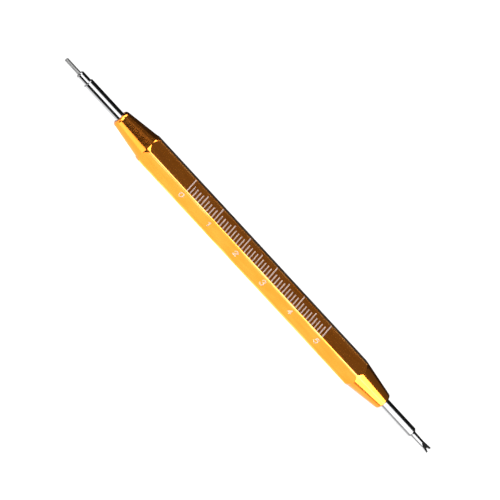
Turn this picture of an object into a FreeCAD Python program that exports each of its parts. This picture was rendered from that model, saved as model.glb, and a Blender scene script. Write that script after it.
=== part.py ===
"""Spring bar tool: a hexagonal handle with a scale, a push-pin tip and a forked tip.

The tool lies on one flat of its hexagon. X runs along it, with the push pin at -X and the fork at +X, and
the scale counts up along +X. The origin is the middle of the bottom flat. Each tip is drawn in its own
frame, from the end of its threaded tail outwards along X, and its Placement screws it home.
"""
import FreeCAD, Part
import os
import Sketcher

SIZES = {
    # handle: a hexagon bar with both ends turned
    "across_flats": 7.5,
    "handle_length": 98.0,
    "half_length": 49.0,
    "edge_round": 0.3,
    "turned_length": 9.7,
    "turned_radius": 3.74,
    "run_out_length": 1.7,
    "run_out_radius": 4.6,
    "nose_radius": 2.25,
    "nose_round": 0.9,
    "cutter_margin": 1.0,
    # the blind hole in each nose: a pilot bore, then the tapped bore at its major diameter
    "pilot_radius": 1.38,
    "pilot_depth": 3.0,
    "tapped_radius": 1.03,
    "tapped_depth": 10.0,
    "drill_point": 0.62,
    # both tips: shank and threaded tail
    "shank_radius": 1.35,
    "tail_radius": 1.0,
    "tail_length": 6.0,
    "tail_chamfer": 0.3,
    # push-pin tip
    "pin_shank_length": 11.65,
    "shank_chamfer": 0.2,
    "sleeve_radius": 1.05,
    "sleeve_length": 3.05,
    "sleeve_chamfer": 0.35,
    "press_radius": 0.7,
    "press_interference": 0.005,
    "press_depth": 5.0,
    "pin_radius": 0.5,
    "pin_length": 4.8,
    "pin_chamfer": 0.12,
    # forked tip
    "fork_shank_length": 11.0,
    "shoulder_chamfer": 0.65,
    "neck_radius": 0.78,
    "waist_radius": 0.7,
    "neck_length": 3.1,
    "flare_length": 2.7,
    "flare_radius": 0.9,
    "blade_run": 1.2,
    "blade_half": 0.36,
    "half_taper": 0.1,
    "notch_width": 0.95,
    "notch_depth": 0.85,
    "notch_side": 0.32,
    # scale: marks on the top flat and numerals on the flat below it
    "scale_length": 50.0,
    "mark_depth": 0.05,
    "mark_width": 0.35,
    "mark_margin": 0.12,
    "unit_mark": 2.6,
    "half_mark": 3.35,
    "tenth_mark": 4.0,
    "numeral_height": 1.35,
    "numeral_stretch": 1.2,
    "numeral_pen": 0.32,
    "numeral_drop": 1.75,
}
MILLIMETRES_IN_SCALE = 50
CENTIMETRES_IN_SCALE = 5
SHEET = "dims"
CLOSE = 1e-4
TAIL_START = "half_length - pilot_depth - tail_length"

# Strokes of each numeral, one unit tall, before stretching: two points make a line, three points an arc.
NUMERALS = [
    [[(0.0, 0.7), (0.3, 1.0), (0.6, 0.7)], [(0.6, 0.7), (0.6, 0.3)],
     [(0.6, 0.3), (0.3, 0.0), (0.0, 0.3)], [(0.0, 0.3), (0.0, 0.7)]],
    [[(0.1, 0.76), (0.36, 1.0)], [(0.36, 1.0), (0.36, 0.0)]],
    [[(0.0, 0.72), (0.3, 1.0), (0.6, 0.72)], [(0.6, 0.72), (0.0, 0.0)], [(0.0, 0.0), (0.62, 0.0)]],
    [[(0.04, 0.88), (0.55, 0.77), (0.26, 0.54)], [(0.26, 0.54), (0.6, 0.27), (0.0, 0.1)]],
    [[(0.46, 0.0), (0.46, 1.0)], [(0.46, 1.0), (0.0, 0.32)], [(0.0, 0.32), (0.64, 0.32)]],
    [[(0.56, 1.0), (0.1, 1.0)], [(0.1, 1.0), (0.04, 0.55)], [(0.04, 0.55), (0.6, 0.32), (0.0, 0.08)]],
]
NUMERAL_WIDTH = 0.6


def make_sheet(doc):
    """Put every driving dimension in the spreadsheet, one aliased row each."""
    sheet = doc.addObject("Spreadsheet::Sheet", SHEET)
    for row, (alias, size) in enumerate(SIZES.items(), start=1):
        sheet.set(f"A{row}", alias)
        sheet.set(f"B{row}", str(size))
        sheet.setAlias(f"B{row}", alias)
    doc.recompute()
    return sheet


def read_sum(words):
    """Turn a sum such as 'tail_length + pilot_depth' into its value and its spreadsheet expression."""
    value = 0.0
    sign = 1.0
    terms = []
    for word in words.split():
        if word in ("+", "-"):
            sign = 1.0 if word == "+" else -1.0
            terms.append(word)
        else:
            value += sign * SIZES[word]
            terms.append(f"{SHEET}.{word}")
    return value, " ".join(terms)


def new_body(doc, name):
    return doc.addObject("PartDesign::Body", name)


def new_sketch(body, name, plane):
    """Start a sketch on one of the body's own origin planes."""
    sketch = body.newObject("Sketcher::SketchObject", name)
    for feature in body.Origin.OriginFeatures:
        if feature.Role == plane:
            sketch.AttachmentSupport = [(feature, "")]
    sketch.MapMode = "FlatFace"
    return sketch


def pin_point(sketch, line, axis, kind, words):
    """Hold the start of a line on an axis, or at a spreadsheet distance from the other axis."""
    value, expression = read_sum(words)
    if not words:
        sketch.addConstraint(Sketcher.Constraint("PointOnObject", line, 1, axis))
        return
    index = sketch.addConstraint(Sketcher.Constraint(kind, -1, 1, line, 1, value))
    sketch.setExpression(f"Constraints[{index}]", expression)


def draw_outline(sketch, corners):
    """Draw a closed outline of straight lines whose corners are named sums, with '' meaning zero."""
    points = [FreeCAD.Vector(read_sum(across)[0], read_sum(up)[0], 0) for across, up in corners]
    count = len(points)
    for number in range(count):
        sketch.addGeometry(Part.LineSegment(points[number], points[(number + 1) % count]), False)
    for number in range(count):
        following = (number + 1) % count
        sketch.addConstraint(Sketcher.Constraint("Coincident", number, 2, following, 1))
    for number, (across, up) in enumerate(corners):
        pin_point(sketch, number, -2, "DistanceX", across)
        pin_point(sketch, number, -1, "DistanceY", up)


def turn(body, name, corners, feature_type="PartDesign::Revolution"):
    """Add or cut a turned shape from an outline of (distance along X, radius) corners."""
    sketch = new_sketch(body, f"{name}_profile", "XZ_Plane")
    draw_outline(sketch, corners)
    feature = body.newObject(feature_type, name)
    feature.Profile = sketch
    feature.ReferenceAxis = (sketch, ["H_Axis"])
    feature.Angle = 360.0
    sketch.Visibility = False
    return feature


def mirror(body, name, originals, sketch, axis):
    """Repeat features on the other side of a sketch's own axis."""
    feature = body.newObject("PartDesign::Mirrored", name)
    feature.Originals = originals
    feature.MirrorPlane = (sketch, [axis])
    body.Tip = feature
    return feature


def hexagon_bar(body):
    """The bar stock: a hexagon with one flat on top, padded both ways along X, its long edges rounded."""
    sketch = new_sketch(body, "hexagon", "YZ_Plane")
    radius = SIZES["across_flats"] / 3 ** 0.5
    turns = [FreeCAD.Rotation(FreeCAD.Vector(0, 0, 1), 60.0 * number) for number in range(6)]
    corners = [rotation.multVec(FreeCAD.Vector(radius, 0, 0)) for rotation in turns]
    for number in range(6):
        sketch.addGeometry(Part.LineSegment(corners[number], corners[(number + 1) % 6]), False)
    circle = Part.Circle(FreeCAD.Vector(0, 0, 0), FreeCAD.Vector(0, 0, 1), radius)
    guide = sketch.addGeometry(circle, True)
    sketch.addConstraint(Sketcher.Constraint("Coincident", guide, 3, -1, 1))
    for number in range(6):
        sketch.addConstraint(Sketcher.Constraint("Coincident", number, 2, (number + 1) % 6, 1))
        sketch.addConstraint(Sketcher.Constraint("PointOnObject", number, 1, guide))
    for number in range(1, 6):
        sketch.addConstraint(Sketcher.Constraint("Equal", 0, number))
    sketch.addConstraint(Sketcher.Constraint("PointOnObject", 0, 1, -1))
    size = sketch.addConstraint(Sketcher.Constraint("Radius", guide, radius))
    sketch.setExpression(f"Constraints[{size}]", f"{SHEET}.across_flats / sqrt(3)")

    pad = body.newObject("PartDesign::Pad", "bar")
    pad.Profile = sketch
    pad.setExpression("Length", f"{SHEET}.handle_length")
    pad.Midplane = True
    body.Document.recompute()

    long_edges = []
    for number, edge in enumerate(pad.Shape.Edges, start=1):
        if edge.Length > SIZES["half_length"]:
            long_edges.append(f"Edge{number}")
    rounding = body.newObject("PartDesign::Fillet", "edge_rounding")
    rounding.Base = (pad, long_edges)
    rounding.setExpression("Radius", f"{SHEET}.edge_round")
    body.Document.recompute()


def turned_ends(body):
    """Turn the cone and its run-out, bore the blind stepped hole and round the nose, at both ends."""
    beyond = "half_length + cutter_margin"
    outside = turn(body, "turned_end", [
        ("half_length - turned_length - run_out_length", "run_out_radius"),
        ("half_length - turned_length", "turned_radius"),
        ("half_length", "nose_radius"),
        (beyond, "nose_radius"),
        (beyond, "run_out_radius"),
    ], "PartDesign::Groove")
    hole = turn(body, "tip_hole", [
        ("half_length - tapped_depth - drill_point", ""),
        ("half_length - tapped_depth", "tapped_radius"),
        ("half_length - pilot_depth", "tapped_radius"),
        ("half_length - pilot_depth", "pilot_radius"),
        (beyond, "pilot_radius"),
        (beyond, ""),
    ], "PartDesign::Groove")
    both = mirror(body, "other_end", [outside, hole], outside.Profile[0], "V_Axis")
    body.Document.recompute()

    nose_edges = []
    for number, edge in enumerate(both.Shape.Edges, start=1):
        if isinstance(edge.Curve, Part.Circle) and abs(edge.Curve.Radius - SIZES["nose_radius"]) < CLOSE:
            nose_edges.append(f"Edge{number}")
    rounding = body.newObject("PartDesign::Fillet", "nose_rounding")
    rounding.Base = (both, nose_edges)
    rounding.setExpression("Radius", f"{SHEET}.nose_round")
    body.Tip = rounding
    body.Document.recompute()


def scale_marks(body, name, length, count):
    """Engrave one length of mark on the top flat and repeat it evenly along the scale."""
    sketch = new_sketch(body, f"{name}_outline", "XY_Plane")
    sketch.setExpression("AttachmentOffset.Base.x", f"-({SHEET}.scale_length + {SHEET}.mark_width) / 2")
    sketch.setExpression("AttachmentOffset.Base.y",
                         f"{SHEET}.mark_margin - {SHEET}.across_flats / (2 * sqrt(3))")
    sketch.setExpression("AttachmentOffset.Base.z", f"{SHEET}.across_flats / 2")
    draw_outline(sketch, [("", ""), ("mark_width", ""), ("mark_width", length), ("", length)])
    pocket = body.newObject("PartDesign::Pocket", name)
    pocket.Profile = sketch
    pocket.setExpression("Length", f"{SHEET}.mark_depth")
    pattern = body.newObject("PartDesign::LinearPattern", f"{name}_row")
    pattern.Originals = [pocket]
    pattern.Direction = (sketch, ["H_Axis"])
    pattern.setExpression("Length", f"{SHEET}.scale_length")
    pattern.Occurrences = count
    body.Tip = pattern
    body.Document.recompute()


def stroke_face(points, half_pen):
    """The flat shape of one pen stroke: a band along a line or an arc, with round ends."""
    points = [FreeCAD.Vector(across, up, 0) for across, up in points]
    normal = FreeCAD.Vector(0, 0, 1)
    if len(points) == 2:
        side = normal.cross(points[1] - points[0]).normalize() * half_pen
        corners = [points[0] + side, points[1] + side, points[1] - side, points[0] - side]
        band = Part.Face(Part.makePolygon(corners + corners[:1]))
    else:
        circle = Part.Arc(*points).toShape().Curve
        spokes = [(point - circle.Center) / circle.Radius for point in points]
        wide = [circle.Center + spoke * (circle.Radius + half_pen) for spoke in spokes]
        tight = [circle.Center + spoke * (circle.Radius - half_pen) for spoke in spokes]
        band = Part.Face(Part.Wire([
            Part.Arc(*wide).toShape(),
            Part.makeLine(wide[2], tight[2]),
            Part.Arc(*reversed(tight)).toShape(),
            Part.makeLine(tight[0], wide[0]),
        ]))
    ends = [Part.Face(Part.Wire(Part.makeCircle(half_pen, point))) for point in (points[0], points[-1])]
    return band.fuse(ends)


def numeral_cutter(doc, sheet):
    """All the numerals as thin solids that sink into the flat below the scale, tops towards the scale."""
    height = float(sheet.numeral_height)
    width = height * float(sheet.numeral_stretch)
    half_pen = float(sheet.numeral_pen) / 2
    depth = float(sheet.mark_depth)
    step = float(sheet.scale_length) / CENTIMETRES_IN_SCALE
    face_distance = float(sheet.across_flats) / 2
    ridge_distance = float(sheet.across_flats) / (2 * 3 ** 0.5)
    solids = []
    for digit, strokes in enumerate(NUMERALS):
        left = digit * step - float(sheet.scale_length) / 2 - NUMERAL_WIDTH * width / 2
        bottom = ridge_distance - float(sheet.numeral_drop) - height / 2
        faces = []
        for stroke in strokes:
            points = [(left + across * width, bottom + up * height) for across, up in stroke]
            faces.append(stroke_face(points, half_pen))
        outline = faces[0].multiFuse(faces[1:]).removeSplitter()
        outline.translate(FreeCAD.Vector(0, 0, face_distance - depth))
        solids.append(outline.extrude(FreeCAD.Vector(0, 0, 2 * depth)))
    cutter = doc.addObject("Part::Feature", "numeral_cutter")
    cutter.Shape = Part.makeCompound(solids)
    cutter.Placement = FreeCAD.Placement(
        FreeCAD.Vector(0, 0, face_distance), FreeCAD.Rotation(FreeCAD.Vector(1, 0, 0), 60.0))
    return cutter


def make_handle(doc, sheet):
    """Hexagon bar, turned ends, blind holes, then the engraved scale."""
    body = new_body(doc, "handle_bar")
    hexagon_bar(body)
    turned_ends(body)
    doc.recompute()
    scale_marks(body, "unit_marks", "unit_mark", MILLIMETRES_IN_SCALE + 1)
    scale_marks(body, "half_marks", "half_mark", 2 * CENTIMETRES_IN_SCALE + 1)
    scale_marks(body, "tenth_marks", "tenth_mark", CENTIMETRES_IN_SCALE + 1)
    body.setExpression("Placement.Base.z", f"{SHEET}.across_flats / 2")
    handle = doc.addObject("Part::Cut", "handle")
    handle.Base = body
    handle.Tool = numeral_cutter(doc, sheet)
    return handle


def seat(piece, end, start):
    """Place a piece with its own start this far out from the tool's middle, pointing out of that end."""
    distance = read_sum(start)[1]
    if end < 0:
        piece.Placement.Rotation = FreeCAD.Rotation(FreeCAD.Vector(0, 0, 1), 180.0)
        distance = f"-({distance})"
    piece.setExpression("Placement.Base.x", distance)
    piece.setExpression("Placement.Base.z", f"{SHEET}.across_flats / 2")


def make_pin_carrier(doc):
    """Tail, shoulder, shank and sleeve in one turning, bored from its free end for the pin."""
    body = new_body(doc, "pin_carrier")
    shoulder = "tail_length"
    shank_end = "tail_length + pilot_depth + pin_shank_length"
    sleeve_end = f"{shank_end} + sleeve_length"
    turn(body, "turning", [
        ("", ""),
        ("", "tail_radius - tail_chamfer"),
        ("tail_chamfer", "tail_radius"),
        (shoulder, "tail_radius"),
        (shoulder, "shank_radius"),
        (f"{shank_end} - shank_chamfer", "shank_radius"),
        (shank_end, "shank_radius - shank_chamfer"),
        (shank_end, "sleeve_radius"),
        (f"{sleeve_end} - sleeve_chamfer", "sleeve_radius"),
        (sleeve_end, "sleeve_radius - sleeve_chamfer"),
        (sleeve_end, ""),
    ])
    turn(body, "pin_bore", [
        (f"{sleeve_end} - press_depth", ""),
        (f"{sleeve_end} - press_depth", "press_radius - press_interference"),
        (f"{sleeve_end} + cutter_margin", "press_radius - press_interference"),
        (f"{sleeve_end} + cutter_margin", ""),
    ], "PartDesign::Groove")
    seat(body, -1, TAIL_START)
    return body


def make_push_pin(doc):
    """A stepped pin: the thick end is pressed into the carrier, the thin end pushes."""
    body = new_body(doc, "push_pin")
    turn(body, "pin_turning", [
        ("", ""),
        ("", "press_radius"),
        ("press_depth", "press_radius"),
        ("press_depth", "pin_radius"),
        ("press_depth + pin_length - pin_chamfer", "pin_radius"),
        ("press_depth + pin_length", "pin_radius - pin_chamfer"),
        ("press_depth + pin_length", ""),
    ])
    seat(body, -1, "half_length + pin_shank_length + sleeve_length - press_depth")
    return body


def make_fork_tip(doc):
    """Tail, shank, waisted neck and flare in one turning, then flattened and notched."""
    body = new_body(doc, "fork_tip")
    shank_end = "tail_length + pilot_depth + fork_shank_length"
    turn(body, "fork_turning", [
        ("", ""),
        ("", "tail_radius - tail_chamfer"),
        ("tail_chamfer", "tail_radius"),
        ("tail_length", "tail_radius"),
        ("tail_length", "shank_radius"),
        (f"{shank_end} - shoulder_chamfer", "shank_radius"),
        (shank_end, "neck_radius"),
        (f"{shank_end} + neck_length", "waist_radius"),
        (f"{shank_end} + neck_length + flare_length", "flare_radius"),
        (f"{shank_end} + neck_length + flare_length", ""),
    ])
    flare_start = f"{shank_end} + neck_length"
    tip = f"{flare_start} + flare_length"
    side = new_sketch(body, "side_flat_outline", "XZ_Plane")
    draw_outline(side, [
        (flare_start, "waist_radius"),
        (f"{flare_start} + blade_run", "blade_half"),
        (tip, "blade_half - half_taper"),
        (f"{tip} + cutter_margin", "blade_half - half_taper"),
        (f"{tip} + cutter_margin", "shank_radius"),
        (flare_start, "shank_radius"),
    ])
    flat = body.newObject("PartDesign::Pocket", "side_flat")
    flat.Profile = side
    flat.Midplane = True
    flat.setExpression("Length", f"4 * {SHEET}.shank_radius")
    mirror(body, "both_flats", [flat], side, "H_Axis")
    doc.recompute()

    notch = new_sketch(body, "notch_outline", "XY_Plane")
    notch.setExpression("AttachmentOffset.Base.y", f"-{SHEET}.notch_width / 2")
    draw_outline(notch, [
        (f"{tip} - notch_depth", "notch_side"),
        (tip, ""),
        (f"{tip} + cutter_margin", ""),
        (f"{tip} + cutter_margin", "notch_width"),
        (tip, "notch_width"),
        (f"{tip} - notch_depth", "notch_width - notch_side"),
    ])
    cut = body.newObject("PartDesign::Pocket", "notch")
    cut.Profile = notch
    cut.Midplane = True
    cut.setExpression("Length", f"4 * {SHEET}.shank_radius")
    body.Tip = cut
    seat(body, 1, TAIL_START)
    return body


def check(doc, pieces):
    """Stop if any object failed to compute or any piece is not one valid solid."""
    for item in doc.Objects:
        if "Invalid" in item.State or "Error" in item.State:
            raise RuntimeError(f"{item.Name} failed: {item.State}")
    for piece in pieces:
        shape = piece.Shape
        if shape.isNull() or not shape.isValid() or len(shape.Solids) != 1:
            raise RuntimeError(f"{piece.Name} is not one valid solid")
        box = shape.BoundBox
        print(f"{piece.Label:12s} volume {shape.Volume:9.3f} mm3  x {box.XMin:8.3f} {box.XMax:8.3f}"
              f"  y {box.YMin:6.3f} {box.YMax:6.3f}  z {box.ZMin:6.3f} {box.ZMax:6.3f}")


def main():
    doc = FreeCAD.newDocument("spring_bar_tool")
    sheet = make_sheet(doc)
    pieces = [
        make_handle(doc, sheet),
        make_pin_carrier(doc),
        make_push_pin(doc),
        make_fork_tip(doc),
    ]
    doc.recompute()
    check(doc, pieces)
    os.makedirs("parts", exist_ok=True)
    for piece in pieces:
        piece.Shape.exportStep(os.path.join("parts", f"{piece.Label}.step"))


main()
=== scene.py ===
"""Looks of the spring bar tool: an anodised hexagon handle with an engraved scale and two steel tips."""
import math

import bmesh
import bpy
import numpy as np
from mathutils import Matrix, Vector
from mathutils.geometry import delaunay_2d_cdt


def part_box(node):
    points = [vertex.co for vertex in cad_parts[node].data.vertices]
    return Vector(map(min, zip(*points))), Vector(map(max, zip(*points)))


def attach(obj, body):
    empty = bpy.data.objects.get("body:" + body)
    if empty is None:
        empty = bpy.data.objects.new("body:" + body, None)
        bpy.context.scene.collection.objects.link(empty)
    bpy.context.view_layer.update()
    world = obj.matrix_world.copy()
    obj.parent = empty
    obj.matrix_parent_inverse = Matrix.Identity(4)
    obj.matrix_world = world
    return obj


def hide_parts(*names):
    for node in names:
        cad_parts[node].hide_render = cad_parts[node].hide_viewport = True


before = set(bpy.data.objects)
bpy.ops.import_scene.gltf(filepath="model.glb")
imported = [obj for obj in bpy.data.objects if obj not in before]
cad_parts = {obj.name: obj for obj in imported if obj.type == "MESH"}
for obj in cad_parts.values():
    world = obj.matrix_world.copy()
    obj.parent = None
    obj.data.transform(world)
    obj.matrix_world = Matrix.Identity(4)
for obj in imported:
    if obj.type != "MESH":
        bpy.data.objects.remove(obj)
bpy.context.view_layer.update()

MM = 0.001
TURN = 2 * math.pi

# In a softened outline, a corner that turns less than GENTLE_TURN stays, and a rounding takes at most
# CORNER_SHARE of each side next to it.
GENTLE_TURN = math.radians(10)
CORNER_SHARE = 0.45

# Sizes that the frame holds.
handle_low, handle_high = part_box("handle")
carrier_low, carrier_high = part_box("pin_carrier")
pin_low, pin_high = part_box("push_pin")
fork_low, fork_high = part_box("fork_tip")
AXIS_HEIGHT = (handle_low.z + handle_high.z) / 2
FLAT_DISTANCE = (handle_high.z - handle_low.z) / 2
HALF_LENGTH = handle_high.x
SHANK_RADIUS = (carrier_high.z - carrier_low.z) / 2
PRESS_RADIUS = (pin_high.z - pin_low.z) / 2

# Handle.
EDGE_ROUND = 0.3 * MM
TURNED_LENGTH = 9.7 * MM
TURNED_RADIUS = 3.74 * MM
RUN_OUT_SLOPE = 0.86 / 1.7
NOSE_RADIUS = 2.25 * MM
NOSE_ROUND = 0.9 * MM
MOUTH_CHAMFER = 0.04 * MM
PILOT_RADIUS = 1.38 * MM
PILOT_DEPTH = 3.0 * MM
TAPPED_RADIUS = 1.03 * MM
TAPPED_DEPTH = 10.0 * MM
DRILL_POINT = 0.62 * MM
CREASE_ROUND = 0.12 * MM
TURNED_LEAN = 0.01

# Scale.
SCALE_LENGTH = 50.0 * MM
MILLIMETRES_IN_SCALE = 50
CENTIMETRE = 10.0 * MM
MARK_WIDTH = 0.35 * MM
MARK_DEPTH = 0.05 * MM
MARK_MARGIN = 0.12 * MM
UNIT_MARK = 2.6 * MM
HALF_MARK = 3.35 * MM
TENTH_MARK = 4.0 * MM
NUMERAL_HEIGHT = 1.35 * MM
NUMERAL_STRETCH = 1.2
NUMERAL_WIDTH = 0.6
NUMERAL_PEN = 0.32 * MM
NUMERAL_DROP = 1.75 * MM
FLAT_TOLERANCE = 1e-5

# Tips.
TAIL_LENGTH = 6.0 * MM
TAIL_RADIUS = 1.0 * MM
THREAD_PITCH = 0.4 * MM
THREAD_DEPTH = 0.22 * MM
THREAD_STEEPNESS = 2.3      # a flank's climb per pitch, in depths: 2 makes a sharp crest, more a flat one
TAIL_CHAMFER = 0.1 * MM
TIP_COLUMNS = 72
TIP_ROUND = 0.06 * MM
SHANK_CHAMFER = 0.2 * MM
SLEEVE_LENGTH = 3.05 * MM
SLEEVE_RADIUS = 1.05 * MM
SLEEVE_CHAMFER = 0.33 * MM
PRESS_DEPTH = 5.0 * MM
PIN_RADIUS = 0.5 * MM
PIN_END_CHAMFER = 0.12 * MM
PIN_ROUND = 0.08 * MM
PIN_COLUMNS = 48
SHOULDER_CHAMFER = 0.65 * MM
NECK_RADIUS = 0.78 * MM
WAIST_RADIUS = 0.7 * MM
NECK_LENGTH = 3.1 * MM
FLARE_LENGTH = 2.7 * MM
FLARE_RADIUS = 0.9 * MM
BLADE_RUN = 1.2 * MM
BLADE_HALF = 0.36 * MM
BLADE_EDGE = 0.26 * MM
NOTCH_WIDTH = 0.95 * MM
NOTCH_ROOT = 0.31 * MM
NOTCH_DEPTH = 0.85 * MM
CUTTER_REACH = 2 * MM
CUTTER_OVERRUN = 1 * MM

# Inside the carrier, the bore is drawn one gap thinner than the pin is in CAD and the pin two gaps, and
# the pin's step lies just inside the bore's mouth, so that no two surfaces meet.
PRESS_GAP = 0.05 * MM
PRESS_SUNK = 0.02 * MM

# Strokes of each numeral, one unit tall, before stretching: two points make a line, three points an arc.
NUMERALS = [
    [[(0.0, 0.7), (0.3, 1.0), (0.6, 0.7)], [(0.6, 0.7), (0.6, 0.3)],
     [(0.6, 0.3), (0.3, 0.0), (0.0, 0.3)], [(0.0, 0.3), (0.0, 0.7)]],
    [[(0.1, 0.76), (0.36, 1.0)], [(0.36, 1.0), (0.36, 0.0)]],
    [[(0.0, 0.72), (0.3, 1.0), (0.6, 0.72)], [(0.6, 0.72), (0.0, 0.0)], [(0.0, 0.0), (0.62, 0.0)]],
    [[(0.04, 0.88), (0.55, 0.77), (0.26, 0.54)], [(0.26, 0.54), (0.6, 0.27), (0.0, 0.1)]],
    [[(0.46, 0.0), (0.46, 1.0)], [(0.46, 1.0), (0.0, 0.32)], [(0.0, 0.32), (0.64, 0.32)]],
    [[(0.56, 1.0), (0.1, 1.0)], [(0.1, 1.0), (0.04, 0.55)], [(0.04, 0.55), (0.6, 0.32), (0.0, 0.08)]],
]


# ---------------------------------------------------------------- mesh helpers

def new_object(name, vertices, faces, materials=()):
    """Make a mesh object whose faces all look outwards."""
    mesh = bpy.data.meshes.new(name)
    mesh.from_pydata([tuple(vertex) for vertex in vertices], [], faces)
    model = bmesh.new()
    model.from_mesh(mesh)
    bmesh.ops.recalc_face_normals(model, faces=model.faces)
    model.to_mesh(mesh)
    model.free()
    piece = bpy.data.objects.new(name, mesh)
    bpy.context.scene.collection.objects.link(piece)
    for material in materials:
        mesh.materials.append(material)
    return piece


def soften(corners, radius, steps=4):
    """Round each corner of an open outline of (along, out) points with an arc, but not the gentle ones."""
    corners = [np.array(corner, float) for corner in corners]
    points = [corners[0]]
    for before, corner, after in zip(corners, corners[1:], corners[2:]):
        arriving = (corner - before) / np.linalg.norm(corner - before)
        leaving = (after - corner) / np.linalg.norm(after - corner)
        cross = arriving[0] * leaving[1] - arriving[1] * leaving[0]
        turn = math.atan2(abs(cross), float(arriving @ leaving))
        if turn < GENTLE_TURN:
            points.append(corner)
            continue
        room = CORNER_SHARE * min(np.linalg.norm(corner - before), np.linalg.norm(after - corner))
        reach = min(radius * math.tan(turn / 2), room)
        arc_radius = reach / math.tan(turn / 2)
        side = np.array([-arriving[1], arriving[0]]) * (1 if cross > 0 else -1)
        start = corner - arriving * reach
        for step in range(steps + 1):
            angle = turn * step / steps
            points.append(start + arriving * arc_radius * math.sin(angle)
                          + side * arc_radius * (1 - math.cos(angle)))
    points.append(corners[-1])
    return points


def lathe(name, outlines, angles, materials=()):
    """Turn one outline per angle about the tool's axis. Each outline starts and ends on the axis."""
    rows = len(outlines[0])
    count = len(angles)
    vertices = [(outlines[0][0][0], 0.0, AXIS_HEIGHT)]
    for row in range(1, rows - 1):
        for outline, angle in zip(outlines, angles):
            along, out = outline[row]
            vertices.append((along, out * math.cos(angle), AXIS_HEIGHT + out * math.sin(angle)))
    vertices.append((outlines[0][-1][0], 0.0, AXIS_HEIGHT))
    last = len(vertices) - 1
    faces = []
    for number in range(count):
        following = (number + 1) % count
        faces.append((0, 1 + number, 1 + following))
        faces.append((last, last - count + following, last - count + number))
        for row in range(rows - 3):
            inner = 1 + row * count
            outer = inner + count
            faces.append((inner + number, outer + number, outer + following, inner + following))
    return new_object(name, vertices, faces, materials)


def apply_modifiers(piece):
    """Replace a piece's mesh with what its modifiers make of it."""
    bpy.context.view_layer.update()
    graph = bpy.context.evaluated_depsgraph_get()
    mesh = bpy.data.meshes.new_from_object(piece.evaluated_get(graph))
    piece.modifiers.clear()
    piece.data = mesh


def combine(piece, other, operation):
    """Cut a piece with another, or keep what they share. The other object goes."""
    boolean = piece.modifiers.new("combine", "BOOLEAN")
    boolean.operation = operation
    boolean.object = other
    boolean.solver = "EXACT"
    boolean.material_mode = "TRANSFER"
    apply_modifiers(piece)
    bpy.data.objects.remove(other)


def finish_shading(piece, sharp_angle=35.0):
    """Shade smooth, keep true edges sharp and let the large faces set the normals.

    The modifier counts areas that differ by less than 0.01 as equal, so it works on the piece in millimetres.
    """
    piece.data.shade_smooth()
    piece.data.set_sharp_from_angle(angle=math.radians(sharp_angle))
    piece.data.transform(Matrix.Scale(1 / MM, 4))
    weighted = piece.modifiers.new("normals", "WEIGHTED_NORMAL")
    weighted.weight = 100
    weighted.keep_sharp = True
    apply_modifiers(piece)
    piece.data.transform(Matrix.Scale(MM, 4))


def flatten_flats(piece, ways, near=0.9995):
    """Give every face that looks along one of these ways exactly that normal. Near is a cosine."""
    mesh = piece.data
    normals = [corner.vector.copy() for corner in mesh.corner_normals]
    for face in mesh.polygons:
        for way in ways:
            if face.normal.dot(way) > near:
                for loop in face.loop_indices:
                    normals[loop] = way
    mesh.normals_split_custom_set(normals)


# ---------------------------------------------------------------- materials

def new_material(name, colour, metallic, roughness):
    """A Principled material, and its shader and node tree."""
    material = bpy.data.materials.new(name)
    material.use_nodes = True
    tree = material.node_tree
    shader = tree.nodes["Principled BSDF"]
    shader.inputs["Base Color"].default_value = (*colour, 1.0)
    shader.inputs["Metallic"].default_value = metallic
    shader.inputs["Roughness"].default_value = roughness
    return material, shader, tree


def noise(tree, scale, detail=3.0):
    """Noise over the object's own coordinates, with its own scale per metre along each axis."""
    place = tree.nodes.new("ShaderNodeTexCoord")
    stretch = tree.nodes.new("ShaderNodeMapping")
    stretch.inputs["Scale"].default_value = scale
    texture = tree.nodes.new("ShaderNodeTexNoise")
    texture.inputs["Scale"].default_value = 1.0
    texture.inputs["Detail"].default_value = detail
    tree.links.new(place.outputs["Object"], stretch.inputs["Vector"])
    tree.links.new(stretch.outputs["Vector"], texture.inputs["Vector"])
    return texture.outputs["Fac"]


def spread(tree, value, low, high, new_low, new_high):
    """Map a value's range onto another."""
    node = tree.nodes.new("ShaderNodeMapRange")
    node.inputs["From Min"].default_value = low
    node.inputs["From Max"].default_value = high
    node.inputs["To Min"].default_value = new_low
    node.inputs["To Max"].default_value = new_high
    tree.links.new(value, node.inputs["Value"])
    return node.outputs["Result"]


def blend_colours(tree, factor, first, second):
    """Mix two plain colours. The node's sockets for colours come after those for numbers and vectors."""
    node = tree.nodes.new("ShaderNodeMix")
    node.data_type = "RGBA"
    tree.links.new(factor, node.inputs["Factor"])
    node.inputs[6].default_value = (*first, 1.0)
    node.inputs[7].default_value = (*second, 1.0)
    return node.outputs[2]


def bump(tree, height, distance, normal=None):
    """Turn a height into a normal. The distance is the height of 1.0, in metres."""
    node = tree.nodes.new("ShaderNodeBump")
    node.inputs["Strength"].default_value = 1.0
    node.inputs["Distance"].default_value = distance
    tree.links.new(height, node.inputs["Height"])
    if normal is not None:
        tree.links.new(normal, node.inputs["Normal"])
    return node.outputs["Normal"]


# Colours.
GOLD = (1.0, 0.305, 0.038)
GOLD_DEEP = (0.94, 0.27, 0.028)
# The paler gold of the rounded edges is partly edge wear and partly a painted highlight along the ridges.
GOLD_EDGE_WEAR_AND_HIGHLIGHT = (1.0, 0.42, 0.11)
STEEL = (0.2, 0.2, 0.203)
GROUND_STEEL = (0.16, 0.16, 0.16)
SMUDGE_SHADE = 0.86
# One laser marking in two colours: a darker copy, painted shade, for the marks on the top flat, and a paler
# copy, painted light, for the numerals on the front flat.
SHADED_MARK_DARK = (0.46, 0.31, 0.265)
SHADED_MARK_PALE = (0.64, 0.47, 0.4)
LIT_NUMERAL_DARK = (0.74, 0.5, 0.34)
LIT_NUMERAL_PALE = (0.95, 0.72, 0.54)

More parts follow.
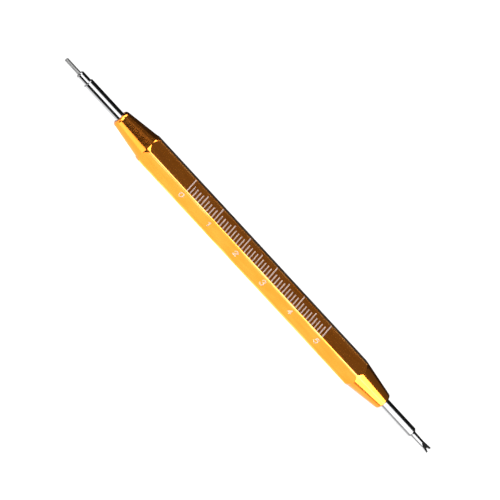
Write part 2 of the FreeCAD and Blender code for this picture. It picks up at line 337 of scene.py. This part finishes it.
# Noise scales per metre along X, Y and Z. A low one draws the pattern out along its axis.
TINT_CLOUDS = (150, 600, 600)
DRAWN_LINES = (180, 7000, 7000)
TURNED_LINES = (9000, 250, 250)
ETCHED_GRAIN = (14000, 14000, 14000)
PLATED_RINGS = (2500, 120, 120)
SMUDGES = (500, 500, 500)
SPECKLE = (9000, 9000, 9000)

# The values of a noise over which the roughness goes from one end of its range to the other, and over
# which the tint goes from its deep colour to its pale one.
NOISE_RANGE = (0.3, 0.7)
CLOUD_RANGE = (0.35, 0.65)

# Heights of the bumps, in metres, and how far the roughness strays.
PLATED_RING_HEIGHT = 0.6e-6
SPECKLE_HEIGHT = 6.0e-6
FINE_STRAY = 0.03
SMUDGE_STRAY = 0.06
MARK_ROUGHNESS = 0.65


def anodised(name, deep, pale, line_scale, line_height, grain_height, roughness):
    """Gold anodised aluminium with fine machining lines and the grain of its etching."""
    material, shader, tree = new_material(name, pale, 1.0, roughness)
    clouds = noise(tree, TINT_CLOUDS, detail=4.0)
    tint = blend_colours(tree, spread(tree, clouds, *CLOUD_RANGE, 0.0, 1.0), deep, pale)
    tree.links.new(tint, shader.inputs["Base Color"])
    lines = noise(tree, line_scale)
    grain = noise(tree, ETCHED_GRAIN, detail=1.0)
    gloss = spread(tree, lines, *NOISE_RANGE, roughness - FINE_STRAY, roughness + FINE_STRAY)
    tree.links.new(gloss, shader.inputs["Roughness"])
    shape = bump(tree, grain, grain_height, bump(tree, lines, line_height))
    tree.links.new(shape, shader.inputs["Normal"])
    return material


def plated(name, colour, roughness):
    """Plated steel with the faint rings of its turning under the plating."""
    material, shader, tree = new_material(name, colour, 1.0, roughness)
    rings = noise(tree, PLATED_RINGS)
    smudges = noise(tree, SMUDGES, detail=4.0)
    gloss = spread(tree, smudges, *NOISE_RANGE, roughness - FINE_STRAY, roughness + SMUDGE_STRAY)
    tree.links.new(gloss, shader.inputs["Roughness"])
    darker = tuple(SMUDGE_SHADE * channel for channel in colour)
    tree.links.new(blend_colours(tree, smudges, darker, colour), shader.inputs["Base Color"])
    tree.links.new(bump(tree, rings, PLATED_RING_HEIGHT), shader.inputs["Normal"])
    return material


def marking(name, dark, pale):
    """The laser-marked recesses: matt and speckled, with no gold left."""
    material, shader, tree = new_material(name, pale, 0.0, MARK_ROUGHNESS)
    speckle = noise(tree, SPECKLE)
    tree.links.new(blend_colours(tree, speckle, dark, pale), shader.inputs["Base Color"])
    tree.links.new(bump(tree, speckle, SPECKLE_HEIGHT), shader.inputs["Normal"])
    return material


# ---------------------------------------------------------------- handle

def hexagon_angles(round_steps=8, flat_steps=16):
    """Angles about the axis, crowded on the six rounded edges and even across the flats."""
    centre = (FLAT_DISTANCE - EDGE_ROUND) / math.cos(math.pi / 6)
    tangent = math.atan2(EDGE_ROUND * math.sin(math.pi / 6),
                         centre + EDGE_ROUND * math.cos(math.pi / 6))
    angles = []
    for corner in range(6):
        middle = corner * math.pi / 3
        for step in range(round_steps):
            angles.append(middle - tangent + 2 * tangent * step / round_steps)
        for step in range(flat_steps):
            angles.append(middle + tangent + (math.pi / 3 - 2 * tangent) * step / flat_steps)
    return angles, centre, tangent


def hexagon_radius(angle, centre, tangent):
    """Distance from the axis to the rounded hexagon, which has corners at 0, 60, 120 degrees..."""
    off_corner = (angle + math.pi / 6) % (math.pi / 3) - math.pi / 6
    if abs(off_corner) < tangent:
        across = centre * math.sin(off_corner)
        return centre * math.cos(off_corner) + math.sqrt(EDGE_ROUND ** 2 - across ** 2)
    return FLAT_DISTANCE / math.cos(math.pi / 6 - abs(off_corner))


def nose_arc(steps=10):
    """The rounding between the cone and the end face."""
    tilt = math.atan2(TURNED_RADIUS - NOSE_RADIUS, TURNED_LENGTH)
    middle = HALF_LENGTH - NOSE_ROUND
    cone_above = NOSE_RADIUS + NOSE_ROUND * math.tan(tilt)
    centre = cone_above - NOSE_ROUND / math.cos(tilt)
    arc = []
    for step in range(steps + 1):
        angle = (math.pi / 2 - tilt) * (1 - step / steps)
        arc.append((middle + NOSE_ROUND * math.cos(angle), centre + NOSE_ROUND * math.sin(angle)))
    return arc


def handle_outline(radius):
    """The outline at one angle, where the hexagon has this radius: one end and its mirror image.

    Each end runs from the hexagon's end out over the nose and down the blind hole to the axis.
    """
    run_out_end = HALF_LENGTH - TURNED_LENGTH
    half = [
        (run_out_end - (radius - TURNED_RADIUS) / RUN_OUT_SLOPE, radius),
        (run_out_end, TURNED_RADIUS),
    ] + nose_arc() + [
        (HALF_LENGTH, PILOT_RADIUS + MOUTH_CHAMFER),
        (HALF_LENGTH - MOUTH_CHAMFER, PILOT_RADIUS),
        (HALF_LENGTH - PILOT_DEPTH, PILOT_RADIUS),
        (HALF_LENGTH - PILOT_DEPTH, TAPPED_RADIUS),
        (HALF_LENGTH - TAPPED_DEPTH, TAPPED_RADIUS),
        (HALF_LENGTH - TAPPED_DEPTH - DRILL_POINT, 0.0),
    ]
    mirrored = [(-along, out) for along, out in reversed(half)]
    return soften(mirrored + half, CREASE_ROUND)


def stroke_outline(points, half_pen, steps=14):
    """The closed outline of one pen stroke: a band along a line or an arc, with round ends."""
    points = [Vector(point) for point in points]
    if len(points) == 3:
        first, middle, last = points
        centre, radius = circle_through(first, middle, last)
        start = math.atan2(first.y - centre.y, first.x - centre.x)
        sweep = math.atan2(last.y - centre.y, last.x - centre.x) - start
        via = math.atan2(middle.y - centre.y, middle.x - centre.x) - start
        if sweep % TURN > via % TURN:
            sweep %= TURN
        else:
            sweep = sweep % TURN - TURN
        line = []
        for step in range(steps + 1):
            angle = start + sweep * step / steps
            line.append(centre + radius * Vector((math.cos(angle), math.sin(angle))))
    else:
        line = points
    ahead = [(after - before).normalized() for before, after in zip(line, line[1:])]
    ahead = [ahead[0]] + [(a + b).normalized() for a, b in zip(ahead, ahead[1:])] + [ahead[-1]]
    left = [point + half_pen * Vector((-way.y, way.x)) for point, way in zip(line, ahead)]
    right = [point - half_pen * Vector((-way.y, way.x)) for point, way in zip(line, ahead)]
    outline = list(right)
    outline += round_end(line[-1], ahead[-1], half_pen)
    outline += list(reversed(left))
    outline += round_end(line[0], -ahead[0], half_pen)
    return outline


def round_end(point, way, half_pen, steps=6):
    """The points between the two corners of a stroke's end, on its half circle."""
    start = math.atan2(way.y, way.x) - math.pi / 2
    angles = [start + math.pi * step / steps for step in range(1, steps)]
    return [point + half_pen * Vector((math.cos(angle), math.sin(angle))) for angle in angles]


def circle_through(first, middle, last):
    """Centre and radius of the circle through three points."""
    a = middle - first
    b = last - first
    scale = 2 * (a.x * b.y - a.y * b.x)
    centre = first + Vector((b.y * a.length_squared - a.y * b.length_squared,
                             a.x * b.length_squared - b.x * a.length_squared)) / scale
    return centre, (first - centre).length


def flat_solid(polygons, place):
    """Join overlapping flat outlines into one solid as thick as twice the mark depth.

    The triangulation works in millimetres, so its tolerance is in millimetres too.
    """
    points = []
    loops = []
    for polygon in polygons:
        loops.append(list(range(len(points), len(points) + len(polygon))))
        points.extend(point / MM for point in polygon)
    found, _, triangles, _, _, sources = delaunay_2d_cdt(points, [], loops, 0, FLAT_TOLERANCE)
    inside = [tuple(triangle) for triangle, source in zip(triangles, sources) if source]
    used = sorted({index for triangle in inside for index in triangle})
    order = {index: number for number, index in enumerate(used)}
    inside = [tuple(order[index] for index in triangle) for triangle in inside]
    count = len(used)
    vertices = []
    for level in (-MARK_DEPTH, MARK_DEPTH):
        vertices += [place @ Vector((found[i].x * MM, found[i].y * MM, level)) for i in used]
    edges = [edge for a, b, c in inside for edge in ((a, b), (b, c), (c, a))]
    known = set(edges)
    rim = [(a, b) for a, b in edges if (b, a) not in known]
    faces = [tuple(reversed(triangle)) for triangle in inside]
    faces += [tuple(index + count for index in triangle) for triangle in inside]
    faces += [(a, b, b + count, a + count) for a, b in rim]
    return vertices, faces


def rectangle(left, right, low, high):
    """The corners of an upright rectangle, counter-clockwise."""
    return [Vector((left, low)), Vector((right, low)), Vector((right, high)), Vector((left, high))]


def flat_place(turn):
    """From a flat's own plane, X along the tool and Y up the flat, to the tool's frame."""
    return (Matrix.Translation((0, 0, AXIS_HEIGHT)) @ Matrix.Rotation(math.radians(turn), 4, "X")
            @ Matrix.Translation((0, 0, FLAT_DISTANCE)))


def scale_cutter(mark_material, numeral_material):
    """Everything that the laser takes away: marks on the top flat, and numerals on the one in front.

    Ridge is half the width of a flat, which is where it meets the next one.
    """
    ridge = FLAT_DISTANCE * math.tan(math.pi / 6)
    groups = []
    for number in range(MILLIMETRES_IN_SCALE + 1):
        length = UNIT_MARK
        if number % 5 == 0:
            length = HALF_MARK
        if number % 10 == 0:
            length = TENTH_MARK
        middle = number * MM - SCALE_LENGTH / 2
        low = MARK_MARGIN - ridge
        mark = rectangle(middle - MARK_WIDTH / 2, middle + MARK_WIDTH / 2, low, low + length)
        groups.append(([mark], flat_place(0)))
    for digit, strokes in enumerate(NUMERALS):
        width = NUMERAL_HEIGHT * NUMERAL_STRETCH
        left = digit * CENTIMETRE - SCALE_LENGTH / 2 - NUMERAL_WIDTH * width / 2
        bottom = ridge - NUMERAL_DROP - NUMERAL_HEIGHT / 2
        outlines = []
        for stroke in strokes:
            points = [(left + x * width, bottom + y * NUMERAL_HEIGHT) for x, y in stroke]
            outlines.append(stroke_outline(points, NUMERAL_PEN / 2))
        groups.append((outlines, flat_place(60)))
    vertices = []
    faces = []
    kinds = []
    for number, (polygons, place) in enumerate(groups):
        start = len(vertices)
        more_vertices, more_faces = flat_solid(polygons, place)
        vertices += more_vertices
        faces += [tuple(index + start for index in face) for face in more_faces]
        kinds += [int(number > MILLIMETRES_IN_SCALE)] * len(more_faces)
    cutter = new_object("scale_cutter", vertices, faces, [mark_material, numeral_material])
    for face, kind in zip(cutter.data.polygons, kinds):
        face.material_index = kind
    return cutter


def make_handle():
    """The hexagon bar, with its turned ends, their blind holes and the scale."""
    bar = anodised("gold_bar", GOLD_DEEP, GOLD, DRAWN_LINES,
                   line_height=0.25e-6, grain_height=0.12e-6, roughness=0.1)
    turned = anodised("gold_turned", GOLD_DEEP, GOLD, TURNED_LINES,
                      line_height=0.4e-6, grain_height=0.25e-6, roughness=0.15)
    # The rounded edges take a paler gold: edge wear, and a painted highlight along the ridges.
    edge = anodised("gold_edge_wear_and_highlight", GOLD, GOLD_EDGE_WEAR_AND_HIGHLIGHT, DRAWN_LINES,
                    line_height=0.25e-6, grain_height=0.12e-6, roughness=0.16)
    angles, centre, tangent = hexagon_angles()
    outlines = [handle_outline(hexagon_radius(angle, centre, tangent)) for angle in angles]
    handle = lathe("handle_body", outlines, angles, [bar, turned, edge])
    # Faces that lean along X and those of the holes were turned, and those near the corners are edges, whose
    # paler gold is partly edge wear and partly a painted highlight along the ridges.
    turned_index, edge_wear_and_highlight_index = 1, 2
    for face in handle.data.polygons:
        level = math.hypot(face.center.y, face.center.z - AXIS_HEIGHT)
        if abs(face.normal.x) > TURNED_LEAN or level < TURNED_RADIUS / 2:
            face.material_index = turned_index
        elif level > centre + EDGE_ROUND / 2:
            face.material_index = edge_wear_and_highlight_index
    # The marks take the darker copy of the marking, painted shade, and the numerals the paler one, painted
    # light.
    marks = marking("laser_mark_painted_shade", SHADED_MARK_DARK, SHADED_MARK_PALE)
    numerals = marking("laser_numeral_painted_light", LIT_NUMERAL_DARK, LIT_NUMERAL_PALE)
    combine(handle, scale_cutter(marks, numerals), "DIFFERENCE")
    finish_shading(handle)
    turns = [math.radians(30 + 60 * number) for number in range(6)]
    flatten_flats(handle, [Vector((0, math.cos(turn), math.sin(turn))) for turn in turns])
    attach(handle, "handle")
    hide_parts("handle")


# ---------------------------------------------------------------- tips

def thread_radius(along, angle, start, end):
    """Radius of a single-start screw thread that fades out at both ends of its length.

    It winds right-handed on the tip that points along X, and left-handed on the one that points back.
    """
    phase = (along / THREAD_PITCH - angle / TURN) % 1.0
    ridge = min(1.0, max(0.0, THREAD_STEEPNESS / 2 - THREAD_STEEPNESS * abs(phase - 0.5)))
    fade = min(1.0, (along - start) / THREAD_PITCH, (end - along) / THREAD_PITCH)
    return TAIL_RADIUS - THREAD_DEPTH + THREAD_DEPTH * ridge * max(0.0, fade)


def tip_outlines(outside, rows_per_pitch=10):
    """Outlines of a tip that starts with a threaded tail. The outside is its outline past the tail."""
    root = TAIL_RADIUS - THREAD_DEPTH
    outlines = []
    angles = [TURN * number / TIP_COLUMNS for number in range(TIP_COLUMNS)]
    lead = THREAD_PITCH / 2
    rows = round((TAIL_LENGTH - 2 * lead) / THREAD_PITCH * rows_per_pitch)
    shaped = soften([(TAIL_LENGTH - lead / 2, root)] + outside, TIP_ROUND)
    for angle in angles:
        outline = [(0.0, 0.0), (0.0, root - TAIL_CHAMFER), (TAIL_CHAMFER, root)]
        for row in range(rows + 1):
            along = lead + (TAIL_LENGTH - 2 * lead) * row / rows
            outline.append((along, thread_radius(along, angle, lead, TAIL_LENGTH - lead)))
        outlines.append(outline + [tuple(point) for point in shaped])
    return outlines, angles


def place_outlines(outlines, start, way):
    """Move outlines to where a tip's tail begins, pointing along X or back along it."""
    return [[(start + way * along, out) for along, out in outline] for outline in outlines]


def make_pin_carrier():
    """The tip body that holds the push pin: tail, shank, sleeve and the pin's bore."""
    steel = plated("plated_carrier", STEEL, 0.1)
    length = carrier_high.x - carrier_low.x
    shank_end = length - SLEEVE_LENGTH
    outlines, angles = tip_outlines([
        (TAIL_LENGTH, TAIL_RADIUS - THREAD_DEPTH),
        (TAIL_LENGTH, SHANK_RADIUS),
        (shank_end - SHANK_CHAMFER, SHANK_RADIUS),
        (shank_end, SHANK_RADIUS - SHANK_CHAMFER),
        (shank_end, SLEEVE_RADIUS),
        (length - SLEEVE_CHAMFER, SLEEVE_RADIUS),
        (length, SLEEVE_RADIUS - SLEEVE_CHAMFER),
        (length, PRESS_RADIUS - PRESS_GAP),
        (length - PRESS_DEPTH, PRESS_RADIUS - PRESS_GAP),
        (length - PRESS_DEPTH, 0.0),
    ])
    carrier = lathe("pin_carrier_body", place_outlines(outlines, carrier_high.x, -1), angles, [steel])
    finish_shading(carrier)
    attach(carrier, "pin_tip")
    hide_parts("pin_carrier")


def make_push_pin():
    """The fine pin, thicker where it is pressed into its carrier."""
    steel = plated("ground_pin", GROUND_STEEL, 0.42)
    length = pin_high.x - pin_low.x
    outline = soften([
        (0.0, 0.0),
        (0.0, PRESS_RADIUS - 2 * PRESS_GAP),
        (PRESS_DEPTH - PRESS_SUNK, PRESS_RADIUS - 2 * PRESS_GAP),
        (PRESS_DEPTH - PRESS_SUNK, PIN_RADIUS),
        (length - PIN_END_CHAMFER, PIN_RADIUS),
        (length, PIN_RADIUS - PIN_END_CHAMFER),
        (length, 0.0),
    ], PIN_ROUND)
    angles = [TURN * number / PIN_COLUMNS for number in range(PIN_COLUMNS)]
    outlines = place_outlines([outline] * PIN_COLUMNS, pin_high.x, -1)
    pin = lathe("push_pin_body", outlines, angles, [steel])
    finish_shading(pin)
    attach(pin, "pin_tip")
    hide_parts("push_pin")


def prism(name, outline, half_depth, upright, material):
    """A solid with this (along, across) outline. Upright prisms stand along Z, others lie along Y."""
    vertices = []
    for side in (-half_depth, half_depth):
        for along, across in outline:
            if upright:
                vertices.append((along, across, AXIS_HEIGHT + side))
            else:
                vertices.append((along, side, AXIS_HEIGHT + across))
    count = len(outline)
    faces = [tuple(range(count)), tuple(range(2 * count - 1, count - 1, -1))]
    for number in range(count):
        following = (number + 1) % count
        faces.append((number, number + count, following + count, following))
    return new_object(name, vertices, faces, [material])


def make_fork_tip():
    """The fork: tail, shank, neck and a flare milled to a thin blade with a notch in its end."""
    steel = plated("plated_fork", STEEL, 0.1)
    length = fork_high.x - fork_low.x
    flare_start = length - FLARE_LENGTH
    neck_start = flare_start - NECK_LENGTH
    outlines, angles = tip_outlines([
        (TAIL_LENGTH, TAIL_RADIUS - THREAD_DEPTH),
        (TAIL_LENGTH, SHANK_RADIUS),
        (neck_start - SHOULDER_CHAMFER, SHANK_RADIUS),
        (neck_start, NECK_RADIUS),
        (flare_start, WAIST_RADIUS),
        (length, FLARE_RADIUS),
        (length, 0.0),
    ])
    fork = lathe("fork_tip_body", place_outlines(outlines, fork_low.x, 1), angles, [steel])
    tip = fork_high.x
    beyond = tip + CUTTER_OVERRUN
    blade_start = tip - FLARE_LENGTH
    for side in (-1, 1):
        wedge = prism("wedge", [
            (blade_start, side * WAIST_RADIUS),
            (blade_start + BLADE_RUN, side * BLADE_HALF),
            (tip, side * BLADE_EDGE),
            (beyond, side * BLADE_EDGE),
            (beyond, side * CUTTER_REACH),
            (blade_start, side * CUTTER_REACH),
        ], CUTTER_REACH, False, steel)
        combine(fork, wedge, "DIFFERENCE")
    notch = prism("notch", [
        (tip - NOTCH_DEPTH, -NOTCH_ROOT / 2),
        (tip, -NOTCH_WIDTH / 2),
        (beyond, -NOTCH_WIDTH / 2),
        (beyond, NOTCH_WIDTH / 2),
        (tip, NOTCH_WIDTH / 2),
        (tip - NOTCH_DEPTH, NOTCH_ROOT / 2),
    ], CUTTER_REACH, True, steel)
    combine(fork, notch, "DIFFERENCE")
    finish_shading(fork)
    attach(fork, "fork_tip")
    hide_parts("fork_tip")


# ---------------------------------------------------------------- studio

CAMERA_SIDE = math.radians(13.08)
CAMERA_RISE = math.radians(65.5)
CAMERA_ROLL = math.radians(47.23)
CAMERA_DISTANCE = 1.5
VIEW_WIDTH = 0.1227
AIM_RIGHT = -0.67 * MM
AIM_UP = 2.625 * MM
SENSOR_WIDTH = 36.0
CLIP_START = 0.01
CLIP_END = 20.0
LIGHT_DISTANCE = 0.9
FLOOR_REACH = 6.0
FLOOR_GREY = (0.1, 0.1, 0.1)
FLOOR_ROUGHNESS = 0.9
FLOOR_GLOW = 0.98
WHITE = (1.0, 1.0, 1.0, 1.0)


def view_axes():
    """The camera's right, up and back directions."""
    back = Vector((-math.sin(CAMERA_SIDE),
                   -math.cos(CAMERA_SIDE) * math.cos(CAMERA_RISE),
                   math.cos(CAMERA_SIDE) * math.sin(CAMERA_RISE)))
    along = Vector((1, 0, 0)) - back * back.x
    along.normalize()
    across = back.cross(along)
    right = along * math.cos(CAMERA_ROLL) + across * math.sin(CAMERA_ROLL)
    up = back.cross(right)
    return right, up, back


def make_camera():
    """A camera that looks down on the tool from the front and a little from its pin end."""
    right, up, back = view_axes()
    data = bpy.data.cameras.new("camera")
    camera = bpy.data.objects.new("camera", data)
    bpy.context.scene.collection.objects.link(camera)
    target = Vector((0, 0, AXIS_HEIGHT)) + right * AIM_RIGHT + up * AIM_UP
    place = Matrix((right, up, back)).transposed().to_4x4()
    place.translation = target + back * CAMERA_DISTANCE
    camera.matrix_world = place
    data.sensor_width = SENSOR_WIDTH
    data.lens = SENSOR_WIDTH * CAMERA_DISTANCE / VIEW_WIDTH
    data.clip_start = CLIP_START
    data.clip_end = CLIP_END
    data.dof.use_dof = False
    bpy.context.scene.camera = camera


def studio_way(rise, swing):
    """A direction from the tool. Rise turns about X from the front horizon over the top; swing goes to +X."""
    rise, swing = math.radians(rise), math.radians(swing)
    return Vector((math.sin(swing), -math.cos(swing) * math.cos(rise), math.cos(swing) * math.sin(rise)))


def soft_light(name, rise, swing, size, radiance, distance=LIGHT_DISTANCE, lights_matt=False):
    """An area light aimed at the tool. Size is its width along the swing and along the rise."""
    data = bpy.data.lights.new(name, "AREA")
    data.shape = "RECTANGLE"
    data.size, data.size_y = size
    data.energy = radiance * math.pi * size[0] * size[1]
    light = bpy.data.objects.new(name, data)
    bpy.context.scene.collection.objects.link(light)
    way = studio_way(rise, swing)
    along = studio_way(rise, swing + 90)
    place = Matrix((along, way.cross(along), way)).transposed().to_4x4()
    place.translation = Vector((0, 0, AXIS_HEIGHT)) + way * distance
    light.matrix_world = place
    light.visible_diffuse = lights_matt


def grey_card(name, rise, swing, size, radiance):
    """A card that shows only in reflections, where its even grey hides the room behind it."""
    way = studio_way(rise, swing)
    along = studio_way(rise, swing + 90)
    across = way.cross(along)
    middle = Vector((0, 0, AXIS_HEIGHT)) + way * LIGHT_DISTANCE
    corners = [middle + along * size[0] / 2 * x + across * size[1] / 2 * y
               for x, y in ((-1, -1), (1, -1), (1, 1), (-1, 1))]
    material, shader, _ = new_material(name, (0.0, 0.0, 0.0), 0.0, 1.0)
    shader.inputs["Emission Color"].default_value = WHITE
    shader.inputs["Emission Strength"].default_value = radiance
    card = new_object(name, corners, [(0, 1, 2, 3)], [material])
    card.visible_camera = False
    card.visible_diffuse = False
    card.visible_shadow = False


# Brightness of the room round the tool by rise, in degrees: bright from below up to the front horizon,
# and nearly dark above it and behind.
ROOM = [(-180, 0.03), (-125, 0.03), (-95, 1.2), (-60, 1.6), (2, 1.72), (6, 0.03), (180, 0.03)]
ROOM_TOP = max(brightness for angle, brightness in ROOM)


def make_room(world):
    """A room whose brightness depends only on how far round the X axis one looks."""
    world.use_nodes = True
    tree = world.node_tree
    place = tree.nodes.new("ShaderNodeTexCoord")
    split = tree.nodes.new("ShaderNodeSeparateXYZ")
    forward = tree.nodes.new("ShaderNodeMath")
    forward.operation = "MULTIPLY"
    forward.inputs[1].default_value = -1.0
    rise = tree.nodes.new("ShaderNodeMath")
    rise.operation = "ARCTAN2"
    share = tree.nodes.new("ShaderNodeMath")
    share.operation = "MULTIPLY_ADD"
    share.inputs[1].default_value = 1 / TURN
    share.inputs[2].default_value = 0.5
    ramp = tree.nodes.new("ShaderNodeValToRGB")
    stops = ramp.color_ramp.elements
    while len(stops) < len(ROOM):
        stops.new(0.5)
    for stop, (angle, brightness) in zip(stops, ROOM):
        stop.position = (angle + 180) / 360
        level = brightness / ROOM_TOP
        stop.color = (level, level, level, 1.0)
    background = tree.nodes["Background"]
    background.inputs["Strength"].default_value = ROOM_TOP
    tree.links.new(place.outputs["Generated"], split.inputs["Vector"])
    tree.links.new(split.outputs["Y"], forward.inputs[0])
    tree.links.new(split.outputs["Z"], rise.inputs[0])
    tree.links.new(forward.outputs["Value"], rise.inputs[1])
    tree.links.new(rise.outputs["Value"], share.inputs[0])
    tree.links.new(share.outputs["Value"], ramp.inputs["Fac"])
    tree.links.new(ramp.outputs["Color"], background.inputs["Color"])


def make_studio():
    """A plain pale floor, a room to reflect and soft lights."""
    scene = bpy.context.scene
    scene.view_settings.view_transform = "Standard"
    scene.world = bpy.data.worlds.new("studio")
    make_room(scene.world)
    material, shader, _ = new_material("floor", FLOOR_GREY, 0.0, FLOOR_ROUGHNESS)
    shader.inputs["Emission Color"].default_value = WHITE
    shader.inputs["Emission Strength"].default_value = FLOOR_GLOW
    corners = [(x * FLOOR_REACH, y * FLOOR_REACH, 0) for x, y in ((-1, -1), (1, -1), (1, 1), (-1, 1))]
    floor = new_object("floor", corners, [(0, 1, 2, 3)], [material])
    floor.visible_glossy = False
    soft_light("key", 71, 37, (1.2, 0.62), 6.0, lights_matt=True)
    soft_light("low_key", 33.5, 52, (0.64, 0.283), 6.0, distance=0.4)
    soft_light("side", 82, -52, (0.85, 0.6), 6.0)
    soft_light("back_side", 147, -47, (1.1, 0.45), 6.0)
    soft_light("strip", 96.5, 9, (0.35, 0.34), 4.5)
    soft_light("under", -60, 13, (0.25, 2.2), 2.4)
    soft_light("low_strip", 9, 19, (0.14, 0.17), 2.0)
    soft_light("fill", 24, -13, (0.47, 0.66), 2.4)
    soft_light("glow", 117, 2, (0.6, 0.24), 0.12)
    soft_light("near_glow", 130, -9, (0.3, 0.95), 0.07)
    soft_light("far_glow", 140, 42, (0.6, 1.0), 0.08)
    grey_card("flag", 2, 42, (0.62, 0.38), 0.62)


make_handle()
make_pin_carrier()
make_push_pin()
make_fork_tip()
make_camera()
make_studio()
